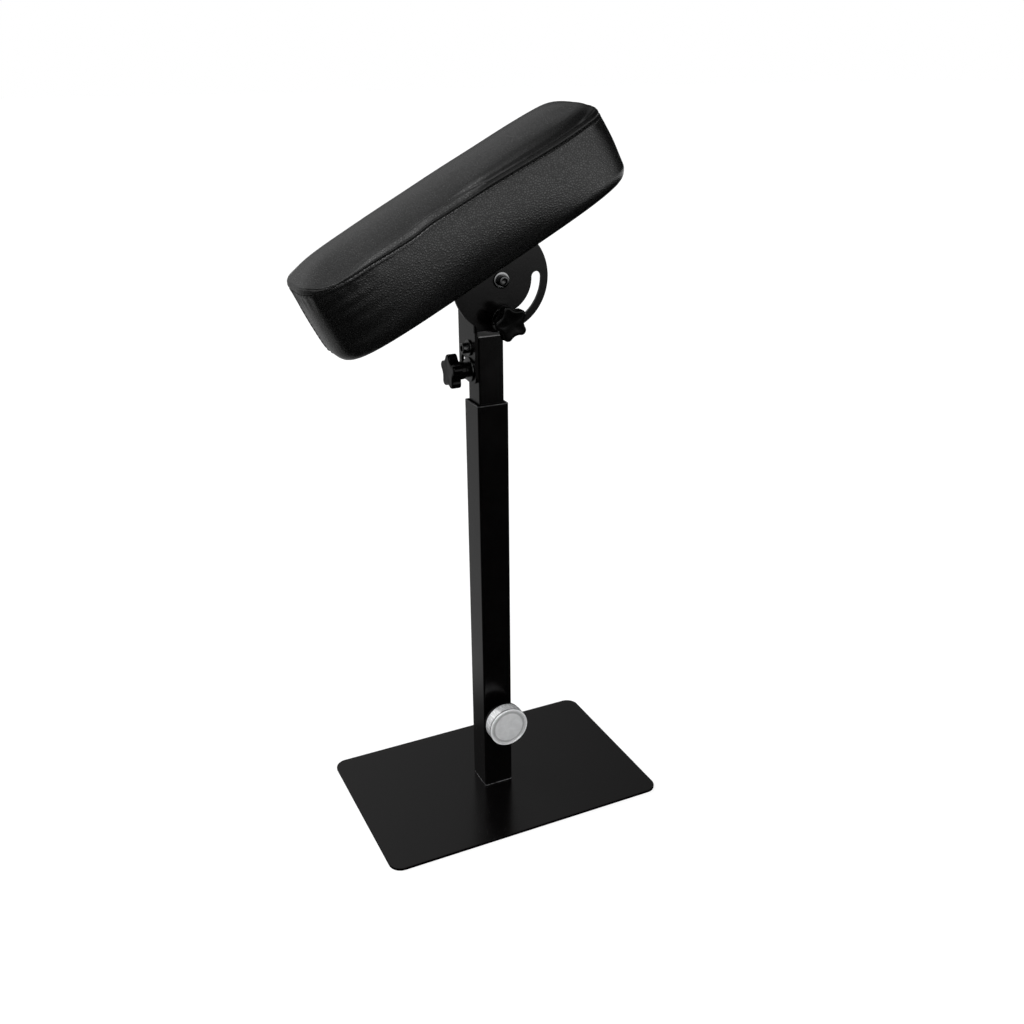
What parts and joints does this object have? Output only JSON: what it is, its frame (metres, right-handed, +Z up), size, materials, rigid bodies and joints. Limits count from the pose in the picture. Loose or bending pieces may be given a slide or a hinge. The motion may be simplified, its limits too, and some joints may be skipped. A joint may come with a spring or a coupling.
{
  "type": "tattoo arm rest stand",
  "caption": "Padded arm rest on a flat base: a square sleeve slides up a post and is clamped by a knob; the pad tilts both ways on slotted, knob-locked plates.",
  "frame": {"origin": "centre of the base plate's underside, on the floor", "axes": "+Z up along the post, +X along the base plate's long side towards the pad's raised end, -Y towards the front, where the clamp knob is"},
  "size_m": [0.3282, 0.198, 0.6963],
  "materials": {
    "powder_coat": "satin",
    "black_nylon": "satin",
    "grey_plug": "matte",
    "zinc_steel": "satin",
    "dark_steel": "satin",
    "bright_steel": "polished",
    "satin_metal": "satin",
    "black_plastic": "gloss",
    "plywood": "matte",
    "foam": "matte",
    "leather_top": "satin",
    "leather_side": "satin",
    "base_cloth": "matte"
  },
  "bodies": {
    "base": {"base_plate": "powder_coat", "base_post": "powder_coat", "foot_weld": "powder_coat", "post_glide_cap": "black_nylon"},
    "sleeve": {"sleeve_tube": "powder_coat", "clamp_boss": "powder_coat", "slide_bush": "black_nylon", "neck_liner": "black_nylon", "neck_screws": "dark_steel", "neck_tube": "powder_coat", "neck_plug": "grey_plug", "neck_rivet_nuts": "zinc_steel", "side_pivot_bolt": "dark_steel", "side_washer": "dark_steel"},
    "clamp_knob": {"clamp_pad": "black_nylon", "clamp_screw": "zinc_steel", "clamp_grip_ring": "black_plastic", "clamp_cap": "satin_metal", "clamp_face_disc": "satin_metal"},
    "side_knob": {"side_knob_washer": "dark_steel", "side_knob_stud": "zinc_steel", "side_star_knob": "black_plastic"},
    "head": {"head_bracket": "powder_coat", "bracket_weld_nut": "zinc_steel", "friction_washer": "black_nylon", "main_pivot_bolt": "bright_steel", "main_washers": "bright_steel", "main_lock_nut": "zinc_steel"},
    "front_knob": {"front_knob_washer": "dark_steel", "front_knob_stud": "zinc_steel", "front_star_knob": "black_plastic"},
    "pad": {"tilt_plate": "powder_coat", "board_screws": "zinc_steel", "board_tee_nuts": "zinc_steel", "pad_board": "plywood", "pad_foam": "foam", "pad_top_panel": "leather_top", "pad_side_band": "leather_side", "pad_bottom_cloth": "base_cloth", "pad_staples": "zinc_steel"}
  },
  "joints": [
    {"name": "height_slide", "type": "slide", "parent": "base", "child": "sleeve", "axis": [0, 0, 1], "range_m": [0, 0.25]},
    {"name": "clamp_turn", "type": "hinge", "parent": "sleeve", "child": "clamp_knob", "pos_m": [0, 0, 0.0913], "axis": [0, -1, 0], "range_deg": [0, 720]},
    {"name": "side_tilt", "type": "hinge", "parent": "sleeve", "child": "head", "pos_m": [0, 0, 0.4865], "axis": [-1, 0, 0], "range_deg": [-12, 45]},
    {"name": "side_lock_turn", "type": "hinge", "parent": "sleeve", "child": "side_knob", "pos_m": [0, 0, 0.466], "axis": [-1, 0, 0], "range_deg": [0, 360]},
    {"name": "pad_tilt", "type": "hinge", "parent": "head", "child": "pad", "pos_m": [0.0087, 0, 0.549], "axis": [0, -1, 0], "range_deg": [-90.5, 35.5]},
    {"name": "front_lock_turn", "type": "hinge", "parent": "head", "child": "front_knob", "pos_m": [0.0087, 0, 0.5136], "axis": [0, -1, 0], "range_deg": [0, 360]}
  ]
}
